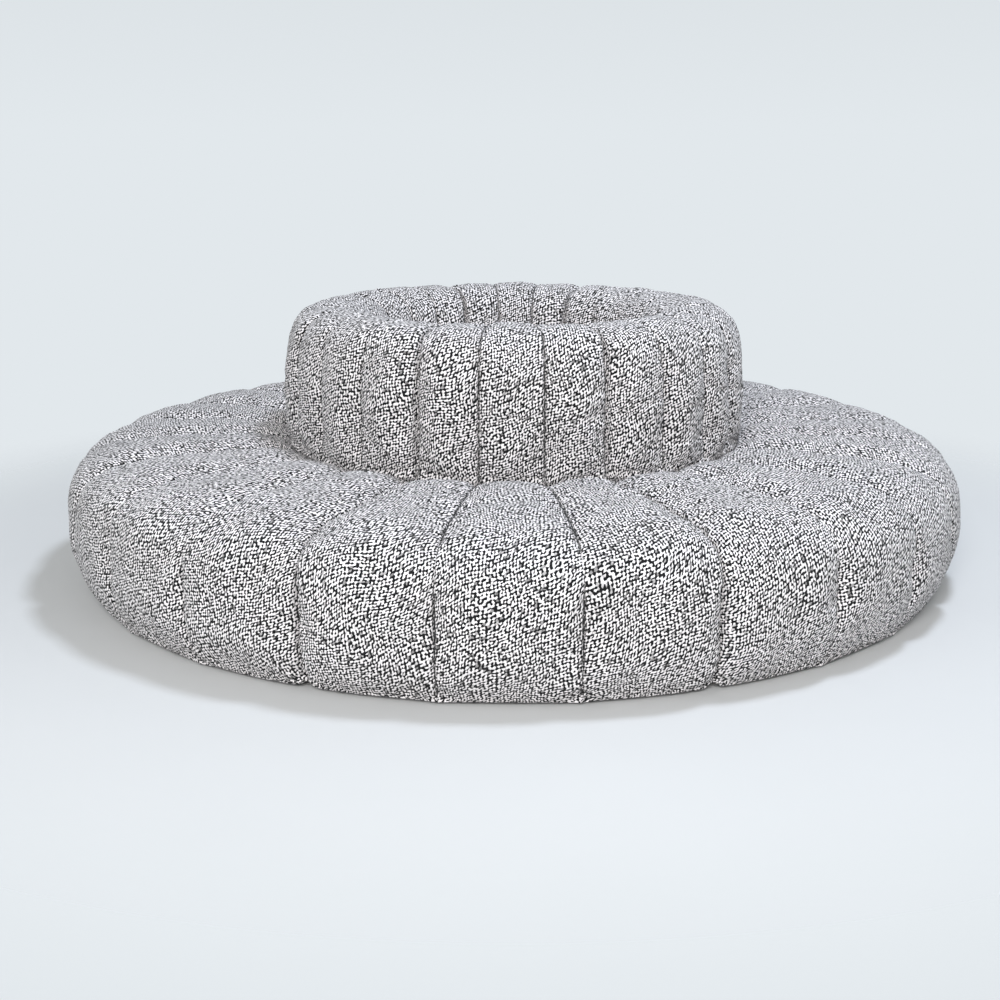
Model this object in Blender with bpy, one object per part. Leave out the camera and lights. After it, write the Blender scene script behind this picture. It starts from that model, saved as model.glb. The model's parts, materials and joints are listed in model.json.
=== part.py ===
"""Round sofa of eight wedge modules: channelled seat ring, channelled back ring, open centre well.

Metres, +Z up. The origin is the ring's centre on the floor, and module 1 faces -Y. Every module is the
same, so each piece's mesh is made once, around -Y, and an empty turns it to its place in the ring.
"""

import math

import bmesh
import bpy
import numpy as np
from mathutils import Matrix

# Ring layout
module_count = 8
channels_per_module = 3
module_gap = 0.001  # free space between the covers of two modules
fit_clearance = 0.0003  # between a piece and what it rests on
cushion_gap = 0.0015  # between the rear of the seat cushion and the back cushion

# Plan: from the ring's centre outwards, along the crowns of the channels
well_radius = 0.360
back_depth = 0.280
seat_depth = 0.560

# Heights
plinth_height = 0.015
seat_height = 0.395
back_above_seat = 0.355

# Seat cushion: the outer face bellies out over the hem, then a soft shoulder runs to the crest
seat_belly = 0.053
seat_belly_height = 0.166
seat_crest_from_back = 0.150
seat_dip_at_back = 0.020
seat_shoulder_power = 4.4

# Back cushion: both faces belly, and the crest is rounder than the seat's shoulder
back_belly = 0.015
back_belly_rise = 0.050
back_crest_from_well = 0.155
back_shoulder_power = 3.5
tuck_clearance = 0.004  # the back's belly starts this far above the seat cushion

# How deep the sewn channels and the module joints are drawn in
seat_hem_channel = 0.006
seat_face_channel = 0.023
seat_crest_channel = 0.016
seat_rear_channel = 0.010
back_face_channel = 0.023
back_crest_channel = 0.011
back_well_channel = 0.012
back_hem_channel = 0.004
joint_extra = 0.010  # a module joint is this much deeper than a sewn channel
channel_round_power = 2.6
channel_edge_power = 0.62

# Foam and cover over the frames
seat_foam = 0.135
seat_front_foam = 0.055
side_foam = 0.012
back_face_foam = 0.060
back_crest_foam = 0.085
well_foam = 0.070

# Plywood frames: rails and ribs with a deck on top
deck_thickness = 0.015
rail_thickness = 0.030
side_rail = 0.050
rib_thickness = 0.018
back_wall = 0.018
seat_column_count = 3
seat_row_count = 2
back_column_count = 2
back_row_count = 1

# Black plinth board that stands on the floor and closes both frames from below
plinth_front_setback = 0.040
plinth_well_setback = 0.010
bracket_room = 0.004  # between the brackets and the plinth's sides

# Flat brackets that gang the modules: a tongue on one side, an open keeper on the other
bracket_width = 0.080
bracket_plate = 0.003
bracket_share = 0.45  # its place along the side rail, from the rear end
tongue_reach = 0.020
tongue_root = 0.036
tongue_corner = 0.008
tongue_play = 0.0012
keeper_lip = 0.004
keeper_throat = 0.026
keeper_flange = 0.016

# Fineness of the faceted forms
seat_puff_shares = (0.0, 0.07, 0.24, 0.5, 0.76, 0.93)
back_puff_shares = (0.0, 0.14, 0.5, 0.86)
face_steps = 2
shoulder_steps = 5
crest_steps = 3
arc_steps = 6
overrun = 0.020  # how far a cutter runs past what it cuts

# Derived sizes
module_angle = math.tau / module_count
half_angle = module_angle / 2
side_gap = module_gap / 2
frame_side = side_gap + side_foam
hem_height = plinth_height
join_radius = well_radius + back_depth
base_radius = join_radius + seat_depth
belly_radius = base_radius + seat_belly
seat_crest_radius = join_radius + seat_crest_from_back
rear_height = seat_height - seat_dip_at_back
deck_height = rear_height - seat_foam
back_height = seat_height + back_above_seat
back_crest_radius = well_radius + back_crest_from_well
back_frame_inner = well_radius + well_foam
back_frame_outer = join_radius - back_face_foam
back_frame_height = back_height - back_crest_foam
seat_frame_inner = back_frame_outer + fit_clearance
seat_frame_outer = base_radius - seat_front_foam


def polar(radius, angle, height):
    """A point of a module that faces -Y: the angle runs from -Y towards +X."""
    return radius * math.sin(angle), -radius * math.cos(angle), height


def side_angle(radius, offset):
    """The angle at which a circle meets the plane that lies offset inside the module's side."""
    return half_angle - math.asin(offset / radius)


# Meshes

def clear_scene():
    for obj in list(bpy.data.objects):
        bpy.data.objects.remove(obj)


def make_collection(name):
    collection = bpy.data.collections.new(name)
    bpy.context.scene.collection.children.link(collection)
    return collection


def evaluated_mesh(obj, name):
    """The object's mesh with its modifiers or its curve applied, caps welded, faces out."""
    graph = bpy.context.evaluated_depsgraph_get()
    mesh = bpy.data.meshes.new_from_object(obj.evaluated_get(graph))
    mesh.name = name
    bm = bmesh.new()
    bm.from_mesh(mesh)
    bmesh.ops.remove_doubles(bm, verts=bm.verts, dist=fit_clearance / 10)
    bmesh.ops.recalc_face_normals(bm, faces=bm.faces)
    bm.to_mesh(mesh)
    bm.free()
    return mesh


def plate_mesh(name, outlines, thickness, placing):
    """Flat outlines, each a list of (x, y), as plates of one thickness from z = 0 up, then placed."""
    curve = bpy.data.curves.new(name, "CURVE")
    curve.dimensions = "2D"
    curve.fill_mode = "BOTH"
    curve.extrude = thickness / 2
    for outline in outlines:
        spline = curve.splines.new("POLY")
        spline.points.add(len(outline) - 1)
        for point, (x, y) in zip(spline.points, outline):
            point.co = (x, y, 0, 1)
        spline.use_cyclic_u = True
    obj = bpy.data.objects.new(name, curve)
    bpy.context.scene.collection.objects.link(obj)
    mesh = evaluated_mesh(obj, name)
    bpy.data.objects.remove(obj)
    mesh.transform(placing @ Matrix.Translation((0, 0, thickness / 2)))
    return mesh


def cut_mesh(name, mesh, cutter_meshes, cutters):
    """The mesh with the space of each cutter taken out of it."""
    obj = bpy.data.objects.new(name, mesh)
    bpy.context.scene.collection.objects.link(obj)
    for cutter_mesh in cutter_meshes:
        cutter = bpy.data.objects.new(cutter_mesh.name + "_cutter", cutter_mesh)
        cutter.hide_render = True
        cutter.display_type = "WIRE"
        cutters.objects.link(cutter)
        cut = obj.modifiers.new(cutter_mesh.name, "BOOLEAN")
        cut.operation = "DIFFERENCE"
        cut.object = cutter
    result = evaluated_mesh(obj, name)
    bpy.data.objects.remove(obj)
    return result


# Cushions

def arc_positions(profile):
    """How far along the profile each of its points lies."""
    steps = np.hypot(*np.diff(profile, axis=0).T)
    return np.concatenate([[0.0], np.cumsum(steps)])


def inward_normals(profile):
    """Unit vectors into the cushion, for a profile that keeps the cushion on its left."""
    along = np.gradient(profile, axis=0)
    along /= np.hypot(*along.T)[:, None]
    return np.stack([-along[:, 1], along[:, 0]], axis=1)


def shoulder(centre, across, up, power, start, end, steps):
    """A quarter of a superellipse from the start angle to the end angle, both in degrees."""
    angles = np.radians(np.linspace(start, end, steps + 1))
    cosines = np.abs(np.cos(angles)) ** (2 / power)
    sines = np.abs(np.sin(angles)) ** (2 / power)
    return np.stack([centre[0] + across * cosines, centre[1] + up * sines], axis=1)


def seat_profile():
    """(radius, height) along a crown, hem to back ring, and the channel's depth at each point."""
    heights = np.linspace(hem_height, seat_belly_height, face_steps + 1)[:-1]
    rise = (heights - hem_height) / (seat_belly_height - hem_height)
    face = np.stack([base_radius + seat_belly * np.sin(rise * math.pi / 2), heights], axis=1)
    top = shoulder(
        (seat_crest_radius, seat_belly_height),
        belly_radius - seat_crest_radius,
        seat_height - seat_belly_height,
        seat_shoulder_power,
        0,
        90,
        shoulder_steps,
    )
    share = np.linspace(0, 1, crest_steps + 1)[1:]
    rear_radii = seat_crest_radius + (join_radius + cushion_gap - seat_crest_radius) * share
    rear = np.stack([rear_radii, seat_height - seat_dip_at_back * share**2], axis=1)
    profile = np.concatenate([face, top, rear])
    at = arc_positions(profile)
    stations = at[[0, len(face), len(face) + shoulder_steps, -1]]
    depths = (seat_hem_channel, seat_face_channel, seat_crest_channel, seat_rear_channel)
    return profile, np.interp(at, stations, depths)


def back_profile():
    """(radius, height) along a crown, from the seat over the crest into the well, and channel depths."""
    belly_start = rear_height + tuck_clearance
    centre_height = belly_start + back_belly_rise
    up = back_height - centre_height
    outer_top = shoulder(
        (back_crest_radius, centre_height),
        join_radius + back_belly - back_crest_radius,
        up,
        back_shoulder_power,
        0,
        90,
        shoulder_steps,
    )
    inner_top = shoulder(
        (back_crest_radius, centre_height),
        well_radius - back_crest_radius,
        up,
        back_shoulder_power,
        90,
        0,
        shoulder_steps,
    )[1:]
    tuck = np.array([(join_radius, deck_height), (join_radius, belly_start)])
    well = np.array([(well_radius, (centre_height + hem_height) / 2), (well_radius, hem_height)])
    profile = np.concatenate([tuck, outer_top, inner_top, well])
    at = arc_positions(profile)
    crest = len(tuck) + shoulder_steps
    stations = at[[0, 1, len(tuck), crest, crest + shoulder_steps, -1]]
    depths = (0, 0, back_face_channel, back_crest_channel, back_well_channel, back_hem_channel)
    return profile, np.interp(at, stations, depths)


def fullness(share):
    """0 on a seam and 1 on the crown of a channel."""
    return (1 - abs(2 * share - 1) ** channel_round_power) ** channel_edge_power


def cushion_sections(profile, depths, closing, puff_shares):
    """Closed sections across a module: each seam draws the profile in, and the crowns stand out."""
    inward = inward_normals(profile)
    joint_depths = depths + joint_extra * np.minimum(depths / seat_hem_channel, 1)
    channels = channels_per_module
    places = [(i, share) for i in range(channels) for share in puff_shares] + [(channels - 1, 1.0)]
    sections = []
    for channel, share in places:
        left = joint_depths if channel == 0 else depths
        right = joint_depths if channel == channels - 1 else depths
        depth = (left * (1 - share) + right * share) * (1 - fullness(share))
        outline = np.concatenate([profile + inward * depth[:, None], closing])
        across = 2 * (channel + share) / channels - 1
        sections.append([polar(r, across * side_angle(r, side_gap), z) for r, z in outline])
    return sections


def lofted_mesh(name, sections):
    """A skin through closed sections of like count, with both ends capped."""
    bm = bmesh.new()
    rings = [[bm.verts.new(point) for point in section] for section in sections]
    for ring, following in zip(rings, rings[1:]):
        for i in range(len(ring)):
            bm.faces.new((ring[i - 1], ring[i], following[i], following[i - 1]))
    bm.faces.new(rings[0])
    bm.faces.new(rings[-1])
    bmesh.ops.recalc_face_normals(bm, faces=bm.faces)
    mesh = bpy.data.meshes.new(name)
    bm.to_mesh(mesh)
    bm.free()
    return mesh


# Frames

def sector(inner, outer, start, start_offset, end, end_offset, steps):
    """Outline of a ring's sector whose straight sides lie offset inside the start and end angles."""
    def arc(radius, first, last):
        return [polar(radius, first + (last - first) * i / steps, 0)[:2] for i in range(steps + 1)]

    outer_from = start + math.asin(start_offset / outer)
    outer_to = end - math.asin(end_offset / outer)
    inner_from = start + math.asin(start_offset / inner)
    inner_to = end - math.asin(end_offset / inner)
    return arc(outer, outer_from, outer_to) + arc(inner, inner_to, inner_from)


def block_mesh(name, inner, outer, offset, bottom, top):
    """A module-wide block between two radii, its sides at an offset inside the module's sides."""
    outline = sector(inner, outer, -half_angle, offset, half_angle, offset, arc_steps)
    return plate_mesh(name, [outline], top - bottom, Matrix.Translation((0, 0, bottom)))


def frame_mesh(name, inner, outer, top, wall, side_wall, columns, rows, cutters):
    """Rails, ribs and a deck in one glued frame: a block with compartments cut into it from below."""
    block = block_mesh(name, inner, outer, frame_side, hem_height, top)
    row_depth = (outer - inner - wall * (rows + 1)) / rows
    column_angle = module_angle / columns
    cells = []
    for row in range(rows):
        near = inner + wall + row * (row_depth + wall)
        for column in range(columns):
            start = -half_angle + column * column_angle
            first = frame_side + side_wall if column == 0 else rib_thickness / 2
            last = frame_side + side_wall if column == columns - 1 else rib_thickness / 2
            end = start + column_angle
            cells.append(sector(near, near + row_depth, start, first, end, last, arc_steps // columns))
    height = top - deck_thickness - hem_height + overrun
    cell_mesh = plate_mesh(name + "_cells", cells, height, Matrix.Translation((0, 0, hem_height - overrun)))
    return cut_mesh(name, block, [cell_mesh], cutters)


def seat_frame_mesh(cutters):
    return frame_mesh(
        "seat_frame",
        seat_frame_inner,
        seat_frame_outer,
        deck_height,
        rail_thickness,
        side_rail,
        seat_column_count,
        seat_row_count,
        cutters,
    )


def back_frame_mesh(cutters):
    return frame_mesh(
        "back_frame",
        back_frame_inner,
        back_frame_outer,
        back_frame_height,
        back_wall,
        side_rail,
        back_column_count,
        back_row_count,
        cutters,
    )


def pocket_mesh(name, inner, outer, top):
    """The space under a cushion that its frame stands in, open below."""
    side = frame_side - fit_clearance
    return block_mesh(name, inner, outer, side, hem_height - overrun, top + fit_clearance)


def seat_cushion_mesh(cutters):
    """Foam and cover over the seat frame, down to the hem in front and at both sides."""
    profile, depths = seat_profile()
    closing = [(join_radius + cushion_gap, hem_height)]
    sections = cushion_sections(profile, depths, closing, seat_puff_shares)
    inner = seat_frame_inner - fit_clearance
    pocket = pocket_mesh("seat_pocket", inner, seat_frame_outer + fit_clearance, deck_height)
    return cut_mesh("seat_cushion", lofted_mesh("seat_form", sections), [pocket], cutters)


def back_cushion_mesh(cutters):
    """Foam and cover over the back frame: onto the deck outside, down to the hem in the well."""
    profile, depths = back_profile()
    closing = [(join_radius, hem_height)]
    sections = cushion_sections(profile, depths, closing, back_puff_shares)
    inner = back_frame_inner - fit_clearance
    upper = pocket_mesh("back_pocket", inner, back_frame_outer + fit_clearance, back_frame_height)
    lower = pocket_mesh("rear_pocket", inner, join_radius + overrun, deck_height)
    return cut_mesh("back_cushion", lofted_mesh("back_form", sections), [upper, lower], cutters)


# Plinth and brackets

def plinth_mesh():
    """A black board under both frames, its sides clear of the brackets."""
    return block_mesh(
        "plinth",
        back_frame_inner + plinth_well_setback,
        seat_frame_outer - plinth_front_setback,
        frame_side + side_rail + bracket_room,
        0,
        plinth_height - fit_clearance,
    )


def bracket_placing(side):
    """Frame on the module's side plane (+1 or -1): X across it to the neighbour, Y along it, Z up."""
    radius = seat_frame_inner + bracket_share * (seat_frame_outer - seat_frame_inner)
    facing = Matrix.Rotation(math.pi if side < 0 else 0, 4, "Z")
    return Matrix.Rotation(side * half_angle, 4, "Z") @ Matrix.Translation((0, -radius, 0)) @ facing


def tongue_mesh():
    """A flat steel tongue screwed under the right side rail and reaching under the next module."""
    root = -frame_side - tongue_root
    tip = frame_side + tongue_reach
    half = bracket_width / 2
    outline = [
        (root, -half),
        (tip - tongue_corner, -half),
        (tip, tongue_corner - half),
        (tip, half - tongue_corner),
        (tip - tongue_corner, half),
        (root, half),
    ]
    bottom = hem_height - fit_clearance - bracket_plate
    placing = bracket_placing(1) @ Matrix.Translation((0, 0, bottom))
    return plate_mesh("connector_tongue", [outline], bracket_plate, placing)


def keeper_mesh():
    """A stepped steel strap under the left side rail: the tongue lies between strap and frame."""
    top = hem_height - fit_clearance
    slot_floor = top - bracket_plate - tongue_play
    strap_bottom = slot_floor - bracket_plate
    lip = keeper_lip - frame_side
    step = -frame_side - keeper_throat
    end = step - keeper_flange - bracket_plate
    outline = [
        (lip, strap_bottom),
        (lip, slot_floor),
        (step, slot_floor),
        (step, top),
        (end, top),
        (end, top - bracket_plate),
        (step - bracket_plate, top - bracket_plate),
        (step - bracket_plate, strap_bottom),
    ]
    upright = Matrix.Translation((0, bracket_width / 2, 0)) @ Matrix.Rotation(math.pi / 2, 4, "X")
    return plate_mesh("connector_keeper", [outline], bracket_width, bracket_placing(-1) @ upright)


# Finishes

def make_material(name, colour, roughness, metallic):
    material = bpy.data.materials.new(name)
    material.use_nodes = True
    shader = material.node_tree.nodes["Principled BSDF"]
    shader.inputs["Base Color"].default_value = (*colour, 1)
    shader.inputs["Roughness"].default_value = roughness
    shader.inputs["Metallic"].default_value = metallic
    return material


def build():
    clear_scene()
    parts = make_collection("ring_sofa")
    cutters = make_collection("cutters")
    cutters.hide_render = True
    boucle = make_material("grey_boucle", (0.42, 0.42, 0.44), 0.95, 0.0)
    plywood = make_material("birch_plywood", (0.60, 0.44, 0.27), 0.60, 0.0)
    lacquer = make_material("black_lacquered_board", (0.02, 0.02, 0.02), 0.50, 0.0)
    steel = make_material("zinc_plated_steel", (0.60, 0.61, 0.62), 0.35, 1.0)
    pieces = {
        "seat_cushion": (seat_cushion_mesh(cutters), boucle, True),
        "back_cushion": (back_cushion_mesh(cutters), boucle, True),
        "seat_frame": (seat_frame_mesh(cutters), plywood, False),
        "back_frame": (back_frame_mesh(cutters), plywood, False),
        "plinth": (plinth_mesh(), lacquer, False),
        "connector_tongue": (tongue_mesh(), steel, False),
        "connector_keeper": (keeper_mesh(), steel, False),
    }
    for mesh, material, smooth in pieces.values():
        mesh.materials.append(material)
        if smooth:
            mesh.shade_smooth()
            mesh.set_sharp_from_angle(angle=math.radians(40))
    for number in range(module_count):
        module = bpy.data.objects.new(f"module_{number + 1}", None)
        module.rotation_euler.z = number * module_angle
        parts.objects.link(module)
        for name, (mesh, _, _) in pieces.items():
            obj = bpy.data.objects.new(f"{name}_{number + 1}", mesh)
            obj.parent = module
            parts.objects.link(obj)


build()
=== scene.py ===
"""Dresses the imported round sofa: boucle covers, stitching, wood, lacquer, steel, studio and camera.

Metres, +Z up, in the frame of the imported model. The ring's centre is the origin and module 1 faces -Y.
A cushion is a grid of points: rows follow its section from the front hem over the top to the rear, and
columns run across it from its left side to its right. Cloth is blown up between the held seams of that
grid, then creases, puckers and small lumps are worked into a finer grid, and it is closed and placed.
"""

import functools
import json
import math

import bpy
import numpy as np
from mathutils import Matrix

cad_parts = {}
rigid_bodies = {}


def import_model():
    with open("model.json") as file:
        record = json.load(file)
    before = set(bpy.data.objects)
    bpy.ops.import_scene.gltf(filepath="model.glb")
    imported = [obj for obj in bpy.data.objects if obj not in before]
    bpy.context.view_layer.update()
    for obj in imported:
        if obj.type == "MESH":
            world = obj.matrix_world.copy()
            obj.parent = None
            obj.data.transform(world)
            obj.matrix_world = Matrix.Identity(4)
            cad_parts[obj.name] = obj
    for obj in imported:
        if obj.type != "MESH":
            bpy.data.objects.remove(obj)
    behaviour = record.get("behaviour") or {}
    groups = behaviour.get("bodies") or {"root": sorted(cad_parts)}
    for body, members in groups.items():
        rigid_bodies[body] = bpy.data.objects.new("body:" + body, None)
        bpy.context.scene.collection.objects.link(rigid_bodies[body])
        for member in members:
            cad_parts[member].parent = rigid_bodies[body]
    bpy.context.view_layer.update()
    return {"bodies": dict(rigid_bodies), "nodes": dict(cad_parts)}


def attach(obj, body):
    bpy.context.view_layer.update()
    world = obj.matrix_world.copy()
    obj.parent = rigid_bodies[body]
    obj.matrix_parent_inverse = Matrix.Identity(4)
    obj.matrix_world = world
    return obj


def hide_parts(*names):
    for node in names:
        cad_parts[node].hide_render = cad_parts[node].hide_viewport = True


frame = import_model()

bl_info = {
    "name": "Ring sofa looks",
    "version": (1, 0, 0),
    "blender": (4, 5, 0),
    "location": "3D View > Sidebar > Ring sofa",
    "description": "Covers, stitching, finishes and studio for the packed ring sofa",
    "category": "Object",
}


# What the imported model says

def mesh_points(mesh):
    """The mesh's vertices, one to a row."""
    points = np.empty(len(mesh.vertices) * 3)
    mesh.vertices.foreach_get("co", points)
    return points.reshape(-1, 3)


def node_reach(name):
    """Least and greatest distance of a node's points from the ring's axis, and their heights."""
    points = mesh_points(frame["nodes"][name].data)
    radii = np.hypot(points[:, 0], points[:, 1])
    return radii.min(), radii.max(), points[:, 2].min(), points[:, 2].max()


module_count = len(frame["bodies"])
module_angle = math.tau / module_count
half_angle = module_angle / 2
seat_reach = node_reach("seat_frame_1")
back_reach = node_reach("back_frame_1")
hem_height = float(seat_reach[2])
deck_height = float(seat_reach[3])
millimetre = 0.001


# Colours

def linear_from_hex(code):
    """The linear values of an sRGB colour written as six hex digits."""
    values = np.array([int(code[i:i + 2], 16) for i in (0, 2, 4)]) / 255
    low = values / 12.92
    high = ((values + 0.055) / 1.055) ** 2.4
    return tuple(float(v) for v in np.where(values <= 0.04045, low, high))


def colour_setting(name, description, code):
    return bpy.props.FloatVectorProperty(
        name=name,
        description=description,
        subtype="COLOR",
        size=3,
        min=0,
        max=1,
        default=linear_from_hex(code),
    )


def length_setting(name, description, default):
    return bpy.props.FloatProperty(
        name=name,
        description=description,
        default=default,
        min=0,
        unit="LENGTH",
        subtype="DISTANCE",
        precision=4,
    )


def power_setting(name, description, default):
    return bpy.props.FloatProperty(
        name=name, description=description, default=default, min=0, unit="POWER"
    )


# Settings that a user would change

class RingSofaSizes(bpy.types.PropertyGroup):
    """Sizes of the ring and its channels."""

    well_radius: length_setting("Well radius", "From the axis to the crown in the well", 0.360)
    back_depth: length_setting("Back depth", "Thickness of the back ring at its foot", 0.280)
    seat_depth: length_setting("Seat depth", "From the back ring to the front hem", 0.560)
    seat_height: length_setting("Seat height", "Floor to the seat's crest", 0.395)
    back_above_seat: length_setting("Back above seat", "Seat's crest to the back's crest", 0.355)
    seat_channel: length_setting("Seat channel", "Depth of the seams in the seat's face", 0.023)
    back_channel: length_setting("Back channel", "Depth of the seams in the back's face", 0.023)
    stitch_pitch: length_setting("Stitch pitch", "From one stitch to the next", 0.0120)


class RingSofaFabric(bpy.types.PropertyGroup):
    """The mixed yarns of the boucle."""

    pale_yarn: colour_setting("Pale yarn", "Undyed loops", "f1ecec")
    grey_yarn: colour_setting("Grey yarn", "Mixed loops between the two", "9d9a99")
    dark_yarn: colour_setting("Dark yarn", "Charcoal loops", "141415")
    # Near black: partly the thread's own dye, partly painted shade of the seam's fold, so that each seam
    # shows as a dark line
    thread_and_seam_shade: colour_setting("Thread", "Sewing thread of the channels", "111113")
    loop_pitch: length_setting("Loop pitch", "From one row of loops to the next", 0.0046)


class RingSofaStudio(bpy.types.PropertyGroup):
    """Floor and light."""

    floor: colour_setting("Floor", "Painted studio floor", "cdcdcc")
    sky: colour_setting("Sky", "Soft light from all round", "e2e8ec")
    sky_strength: bpy.props.FloatProperty(
        name="Sky strength",
        description="How bright the light from all round is",
        default=1.0,
        min=0,
        subtype="FACTOR",
    )
    key_colour: colour_setting("Key colour", "Cool daylight of the large lamp", "e4efff")
    key_power: power_setting("Key power", "Power of the large lamp above on the right", 220)
    fill_power: power_setting("Fill power", "Power of the very large lamp in front", 450)


# Grids

shoulder_steps = 120
# How evenly columns share a channel, and how much they crowd at its seams instead
even_part, crowded_part = 0.45, 0.55
# A channel's round: a higher power makes its crown flatter, and a lower one its walls steeper
crown_power, wall_power = 2.6, 0.62


def polar(radius, angle, height):
    """Points of a module that faces -Y: the angle runs from -Y towards +X."""
    return np.stack([radius * np.sin(angle), -radius * np.cos(angle), height], axis=-1)


def side_angle(radius, offset):
    """The angle at which a circle meets the plane that lies offset inside the module's side."""
    return half_angle - np.arcsin(offset / radius)


def arc_positions(path):
    """How far along the path each of its points lies."""
    return np.concatenate([[0.0], np.cumsum(np.linalg.norm(np.diff(path, axis=0), axis=1))])


def evenly(path, pitch):
    """The same path with its points the same distance apart, about the pitch."""
    at = arc_positions(path)
    count = int(round(at[-1] / pitch)) + 1
    places = np.linspace(0, at[-1], count)
    return np.stack([np.interp(places, at, path[:, i]) for i in range(path.shape[1])], axis=1)


def superellipse(centre, across, up, power, start, end):
    """A quarter of a superellipse: centre plus across times cos and up times sin, each to 2/power."""
    angles = np.radians(np.linspace(start, end, shoulder_steps + 1))
    cosines = np.abs(np.cos(angles)) ** (2 / power)
    sines = np.abs(np.sin(angles)) ** (2 / power)
    return np.stack([centre[0] + across * cosines, centre[1] + up * sines], axis=1)


def inward_normals(path):
    """Unit vectors into the cushion, a quarter turn left of the way the path runs."""
    along = np.gradient(path, axis=0)
    along /= np.linalg.norm(along, axis=1)[:, None]
    return np.stack([-along[:, 1], along[:, 0]], axis=1)


def surface_normals(points):
    """Unit normals of a grid: the cross product of its differences across and along it."""
    normal = np.cross(np.gradient(points, axis=1), np.gradient(points, axis=0))
    return normal / np.maximum(np.linalg.norm(normal, axis=2), 1e-12)[:, :, None]


def finer(points, axis):
    """Twice as fine along one axis: a new point is 9/16 of its two neighbours less 1/16 of the next."""
    points = np.moveaxis(points, axis, 0)
    padded = np.concatenate([2 * points[:1] - points[1:2], points, 2 * points[-1:] - points[-2:-1]])
    middle = (9 * (padded[1:-2] + padded[2:-1]) - padded[:-3] - padded[3:]) / 16
    result = np.empty((2 * len(points) - 1, *points.shape[1:]))
    result[::2] = points
    result[1::2] = middle
    return np.moveaxis(result, 0, axis)


def column_places(channels, steps):
    """Channel number and share across it for each column, closer together near the seams."""
    even = np.linspace(0, 1, steps + 1)
    share = even_part * even + crowded_part * (0.5 - 0.5 * np.cos(np.pi * even))
    number = np.repeat(np.arange(channels), steps)
    shares = np.tile(share[:-1], channels)
    return np.append(number, channels - 1), np.append(shares, 1.0)


def fullness(share):
    """0 on a seam and 1 on the crown of a channel, by a superellipse with two powers of its own."""
    return (1 - np.abs(2 * share - 1) ** crown_power) ** wall_power


# Sections of the two cushions, as (radius, height) along a crown, with the seams' depth at each point

channels_per_module = 3
# A cover stays this far inside the side planes of its module
side_gap = 0.0015
front_hem_height = 0.004
# Depths of the seams at the front hem and at the top and rear of the seat
hem_channel, seat_top_channel, seat_rear_channel = 0.006, 0.016, 0.018
# Depths of the seams on the back's crest, in the well and at the well's hem
back_crest_channel, well_channel, well_hem_channel = 0.011, 0.012, 0.004
# A joint between modules is this much deeper than a seam
joint_extra = 0.010
# The seat's belly, its crest's distance from the back, and how far it dips and ends short there
belly_bulge, belly_height = 0.053, 0.166
seat_crest_place, seat_dip, seat_rear_gap = 0.150, 0.020, 0.0015
# The back's foot over the dip, its overhang over the seat, and where its shoulders have their centre
foot_rise, back_overhang = 0.004, 0.015
shoulder_place, shoulder_rise = 0.155, 0.050
seat_power, back_power = 4.4, 3.5
straight_steps = 60


def seamed(rough, marks, depths, pitch):
    """The path with even points, and the seams' depth there, in straight lines between the marks."""
    at = arc_positions(rough)
    path = evenly(rough, pitch)
    places = np.linspace(0, 1, len(path))
    return path, np.interp(places, at[marks] / at[-1], depths)


def seat_section(sizes, pitch):
    """Bellied face (sine of the height), superellipse shoulder, then a crest that dips by a square."""
    join = sizes.well_radius + sizes.back_depth
    base = join + sizes.seat_depth
    heights = np.linspace(front_hem_height, belly_height, straight_steps)[:-1]
    rise = (heights - front_hem_height) / (belly_height - front_hem_height)
    face = np.stack([base + belly_bulge * np.sin(rise * np.pi / 2), heights], axis=1)
    crest = join + seat_crest_place
    centre, across = (crest, belly_height), base + belly_bulge - crest
    top = superellipse(centre, across, sizes.seat_height - belly_height, seat_power, 0, 90)
    share = np.linspace(0, 1, straight_steps)[1:, None]
    rear_end = join + seat_rear_gap
    rear = np.hstack([crest + (rear_end - crest) * share, sizes.seat_height - seat_dip * share**2])
    marks = [0, len(face), len(face) + shoulder_steps, -1]
    depths = (hem_channel, sizes.seat_channel, seat_top_channel, seat_rear_channel)
    return seamed(np.concatenate([face, top, rear]), marks, depths, pitch)


def back_section(sizes, pitch):
    """Upright foot behind the seat, two superellipse shoulders that meet on the crest, and the well."""
    join = sizes.well_radius + sizes.back_depth
    foot_top = sizes.seat_height - seat_dip + foot_rise
    centre = (sizes.well_radius + shoulder_place, foot_top + shoulder_rise)
    up = sizes.seat_height + sizes.back_above_seat - centre[1]
    outer = superellipse(centre, join + back_overhang - centre[0], up, back_power, 0, 90)
    inner = superellipse(centre, sizes.well_radius - centre[0], up, back_power, 90, 0)[1:]
    foot = np.array([(join, deck_height), (join, foot_top)])
    well = np.array([(sizes.well_radius, hem_height)])
    crest = len(foot) + shoulder_steps
    marks = [0, 1, 2, crest, crest + shoulder_steps, -1]
    depths = (0, 0, sizes.back_channel, back_crest_channel, well_channel, well_hem_channel)
    return seamed(np.concatenate([foot, outer, inner, well]), marks, depths, pitch)


def skin_grid(path, depth, number, share, slack):
    """Points of the sewn skin: the crown's path drawn in by the seam's depth, less where it is full."""
    inward = inward_normals(path)
    at_joint = depth + joint_extra * np.minimum(depth / hem_channel, 1)
    left = np.where(number[None, :] == 0, at_joint[:, None], depth[:, None])
    right = np.where(number[None, :] == channels_per_module - 1, at_joint[:, None], depth[:, None])
    full = fullness(share)[None, :]
    drawn = (left * (1 - share) + right * share) * (1 - full) + slack * full
    outline = path[:, None, :] + inward[:, None, :] * drawn[:, :, None]
    across = 2 * (number + share) / channels_per_module - 1
    radius, height = outline[..., 0], outline[..., 1]
    return polar(radius, across * side_angle(radius, side_gap), height)


# Cloth

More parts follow.
